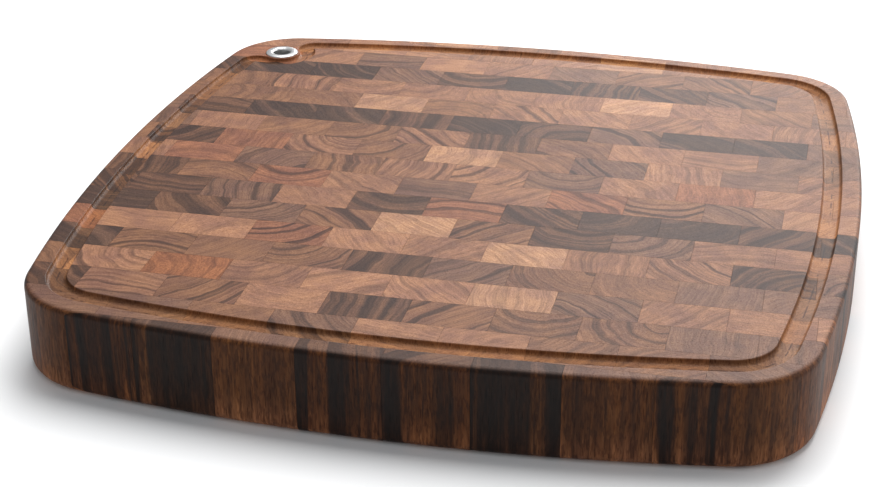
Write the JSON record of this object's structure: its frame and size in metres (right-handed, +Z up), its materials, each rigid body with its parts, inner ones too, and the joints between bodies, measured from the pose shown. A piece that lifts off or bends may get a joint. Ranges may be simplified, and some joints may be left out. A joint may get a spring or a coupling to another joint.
{
  "type": "end-grain cutting board",
  "caption": "Thick end-grain wood cutting board with bowed sides, rounded corners, a juice groove round the rim and a steel-lined hanging hole in one corner.",
  "frame": {"origin": "middle of the underside, on the surface the board rests on", "axes": "+Z up through the thickness, +X along the rows of blocks to the right, +Y to the back; the hanging hole is in the -X +Y corner"},
  "size_m": [0.406, 0.406, 0.0455],
  "materials": {
    "end_grain_wood": "oiled, satin, end grain up",
    "polished_steel": "polished stainless steel"
  },
  "bodies": {
    "root": {"block_row_01": "end_grain_wood", "block_row_02": "end_grain_wood", "block_row_03": "end_grain_wood", "block_row_04": "end_grain_wood", "block_row_05": "end_grain_wood", "block_row_06": "end_grain_wood", "block_row_07": "end_grain_wood", "block_row_08": "end_grain_wood", "block_row_09": "end_grain_wood", "block_row_10": "end_grain_wood", "block_row_11": "end_grain_wood", "block_row_12": "end_grain_wood", "block_row_13": "end_grain_wood", "block_row_14": "end_grain_wood", "block_row_15": "end_grain_wood", "block_row_16": "end_grain_wood", "block_row_17": "end_grain_wood", "block_row_18": "end_grain_wood", "block_row_19": "end_grain_wood", "hanging_hole_liner_top": "polished_steel", "hanging_hole_liner_bottom": "polished_steel"}
  },
  "joints": []
}
